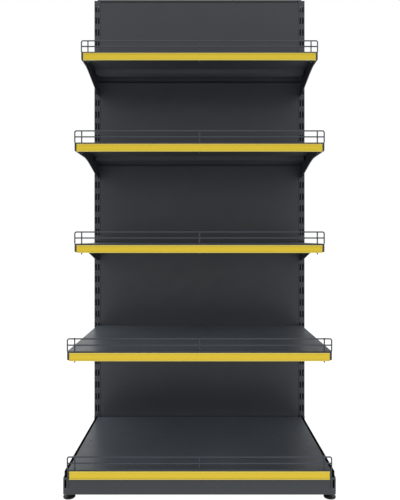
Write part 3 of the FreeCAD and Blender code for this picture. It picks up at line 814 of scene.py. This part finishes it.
def add_collar(shape, centre):
    """Chamfered hexagon of a stem, just above its pad."""
    corner = COLLAR_HALF / math.cos(math.pi / COLLAR_SIDES)
    bevel = COLLAR_CHAMFER / 2
    profile = [
        (corner - COLLAR_CHAMFER, COLLAR_LOW),
        (corner, COLLAR_LOW + bevel),
        (corner, COLLAR_HIGH - bevel),
        (corner - COLLAR_CHAMFER, COLLAR_HIGH),
    ]
    hexagon = bmesh.new()
    turned(hexagon, profile, centre, COLLAR_SIDES)
    turn = Matrix.Rotation(math.pi / COLLAR_SIDES, 3, "Z")
    bmesh.ops.rotate(hexagon, verts=hexagon.verts, cent=centre, matrix=turn)
    merge(shape, hexagon)


def add_thread(shape, centre, start, end):
    """Screw thread: one ridge wound around a core, closed at both ends."""
    minor = STEM_RADIUS - THREAD_DEPTH
    total = int((end - start) / THREAD_LEAD * THREAD_STEPS)
    rows = []
    for step in range(total + 1):
        angle = 2 * math.pi * step / THREAD_STEPS
        climb = start + (end - start - THREAD_LEAD) * step / total
        around = Vector((math.cos(angle), math.sin(angle), 0.0))
        row = []
        for depth, rise in THREAD_RIDGE:
            up = Vector((0.0, 0.0, climb + rise * THREAD_LEAD))
            row.append(shape.verts.new(centre + around * (minor + depth * THREAD_DEPTH) + up))
        rows.append(row)
    corners = len(THREAD_RIDGE)
    for first, second in zip(rows, rows[1:]):
        for index in range(corners):
            after = (index + 1) % corners
            shape.faces.new((first[index], second[index], second[after], first[after]))
    shape.faces.new(rows[0][::-1])
    shape.faces.new(rows[-1])
    core = minor - CORE_INSET
    profile = [(core, start - CORE_OVERLAP), (core, end - CORE_POINT), (minor - CORE_POINT, end)]
    turned(shape, profile, centre, THREAD_STEPS)


def make_stem(corner):
    """Stem with a plain end in its pad, a chamfered hexagon above it, and a thread up into the frame."""
    node = "stem_" + corner
    low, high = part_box(node)
    centre = axis_of(low, high)
    plain = [
        (STEM_RADIUS - THREAD_DEPTH, low.z),
        (STEM_RADIUS, low.z + STEM_POINT),
        (STEM_RADIUS, COLLAR_LOW),
    ]
    shape = bmesh.new()
    turned(shape, plain, centre, THREAD_STEPS)
    add_collar(shape, centre)
    add_thread(shape, centre, COLLAR_HIGH, high.z)
    piece = mesh_piece("level_stem_" + corner, shape)
    smooth(piece, STEM_SMOOTH)
    finish_piece(piece, zinc, node)
    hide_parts(node)


# Rail screws

def make_rail_screws():
    """Two pan-head screws with a round recess, at the tops of the uprights."""
    node = "top_rail_screws"
    low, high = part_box(node)
    seat = low.y + SCREW_HEAD_HEIGHT
    middle = (low.z + high.z) / 2
    toward_viewer = Matrix.Rotation(math.radians(90), 4, "X")
    shape = bmesh.new()
    for side in (-1, 1):
        x = side * (high.x - SCREW_HEAD_RADIUS)
        screw = bmesh.new()
        turned(screw, in_mm(SCREW_SHANK + SCREW_HEAD + SCREW_RECESS), Vector((0.0, 0.0, 0.0)), SCREW_STEPS)
        stand = Matrix.Translation((x, seat, middle)) @ toward_viewer
        bmesh.ops.transform(screw, matrix=stand, verts=screw.verts)
        merge(shape, screw)
    piece = mesh_piece("rail_screws", shape)
    smooth(piece, SCREW_SMOOTH)
    finish_piece(piece, screw_steel, "frame")
    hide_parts(node)


# Inner folds of the rail and the back panels, which keep light out of their seams

def make_fold(name, half, front, low, high):
    """Upright strip of sheet across the bay, given by its front face and its lower and upper edge."""
    back = front + FOLD_SHEET
    outline = [(front, low), (back, low), (back, high), (front, high)]
    piece = drawn_across(name, outline, -half, half)
    finish_piece(piece, coat_frame, "frame")


def make_folds():
    """A hem inside the rail's skirt, and a lip behind each seam between two panels."""
    rail_low, rail_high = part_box("top_rail")
    half = rail_high.x - FOLD_END_INSET
    hem_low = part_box("back_panel_1")[1].z + HEM_GAP
    make_fold("rail_hem", half, rail_low.y + RAIL_SHEET, hem_low, hem_low + HEM_HEIGHT)
    for number in range(1, PANEL_COUNT):
        low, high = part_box("back_panel_%d" % number)
        make_fold("panel_lip_%d" % number, half, high.y + LIP_GAP, low.z - LIP_DROP, low.z + LIP_RISE)


# Studio

def floor_shade(tree, across, depth):
    """0 on the floor under the bay, 1 around it."""
    side = calculate(tree, "ABSOLUTE", across)
    beside = level_between(tree, side, cad_high.x - SHADE_IN, cad_high.x)
    before = level_between(tree, depth, cad_low.y + SHADE_FRONT_IN, cad_low.y + SHADE_FRONT_OUT)
    behind = level_between(tree, depth, cad_high.y - SHADE_IN, cad_high.y)
    return calculate(tree, "MAXIMUM", beside, calculate(tree, "MAXIMUM", before, behind))


def floor_glow(tree, across, depth):
    """Even light of the floor, which runs far out into the tone of the surroundings."""
    across_squared = calculate(tree, "MULTIPLY", across, across)
    depth_squared = calculate(tree, "MULTIPLY", depth, depth)
    distance = calculate(tree, "SQRT", calculate(tree, "ADD", across_squared, depth_squared))
    toward_back = calculate(tree, "DIVIDE", depth, distance)
    front_tone = FRONT_LIGHT - FLOOR_BOUNCE
    backdrop = level_between(tree, toward_back, TURN_FROM, TURN_TO, front_tone, FLOOR_GLOW)
    far = level_between(tree, distance, FLOOR_FAR_FROM, FLOOR_FAR_TO)
    less = calculate(tree, "MULTIPLY", far, calculate(tree, "SUBTRACT", FLOOR_GLOW, backdrop))
    return calculate(tree, "SUBTRACT", FLOOR_GLOW, less)


def floor_material():
    """Pale floor, lit evenly as on a light table, with shade under the bay."""
    material, tree, shader, place = start_material("floor", specular=0.0)
    shader.inputs["Base Color"].default_value = FLOOR_TONE
    shader.inputs["Roughness"].default_value = FLOOR_ROUGHNESS
    shader.inputs["Emission Color"].default_value = STUDIO_WHITE
    across, depth = parts_of(tree, place)[:2]
    clear = floor_shade(tree, across, depth)
    glow = calculate(tree, "MULTIPLY", clear, floor_glow(tree, across, depth))
    tree.links.new(glow, shader.inputs["Emission Strength"])
    return material


def make_floor():
    """Studio floor, at the level of the pads' full reach."""
    shape = bmesh.new()
    half = FLOOR_HALF
    corners = [(-half, -half), (half, -half), (half, half), (-half, half)]
    shape.faces.new([shape.verts.new((x, y, -FLOOR_BELOW)) for x, y in corners])
    floor = mesh_piece("floor", shape)
    floor.data.materials.append(floor_material())


def make_world():
    """White surroundings, full behind the bay and above it, dimmer on the viewer's side."""
    world = bpy.data.worlds.new("studio")
    world.use_nodes = True
    tree = world.node_tree
    background = tree.nodes["Background"]
    background.inputs["Color"].default_value = STUDIO_WHITE
    across, depth, height = parts_of(tree, tree.nodes.new("ShaderNodeTexCoord").outputs["Generated"])
    front = level_between(tree, height, TOP_FROM, TOP_TO, FRONT_LIGHT, TOP_LIGHT)
    sideways = level_between(tree, across, -1.0, 1.0, SIDE_TILT, -SIDE_TILT)
    around = tree.nodes.new("ShaderNodeMix")
    around.inputs["B"].default_value = BACK_LIGHT
    tree.links.new(level_between(tree, depth, TURN_FROM, TURN_TO), around.inputs["Factor"])
    tree.links.new(calculate(tree, "ADD", front, sideways), around.inputs["A"])
    tree.links.new(around.outputs["Result"], background.inputs["Strength"])
    bpy.context.scene.world = world


def make_camera():
    """Camera square to the bay, a little below mid height, with upright verticals."""
    data = bpy.data.cameras.new("camera")
    data.lens = CAMERA_LENS
    data.shift_x, data.shift_y = CAMERA_SHIFT
    camera = bpy.data.objects.new("camera", data)
    camera.location = CAMERA_AT
    camera.rotation_euler = (math.radians(90), 0.0, 0.0)
    bpy.context.scene.collection.objects.link(camera)
    bpy.context.scene.camera = camera


for name in nodes:
    paint_node(name)
for level in LEVELS:
    make_guard(level)
    make_ticket_strip(level)
for corner in CORNERS:
    make_pad(corner)
    make_stem(corner)
make_rail_screws()
make_folds()
make_floor()
make_world()
make_camera()
bpy.context.scene.view_settings.view_transform = "Standard"
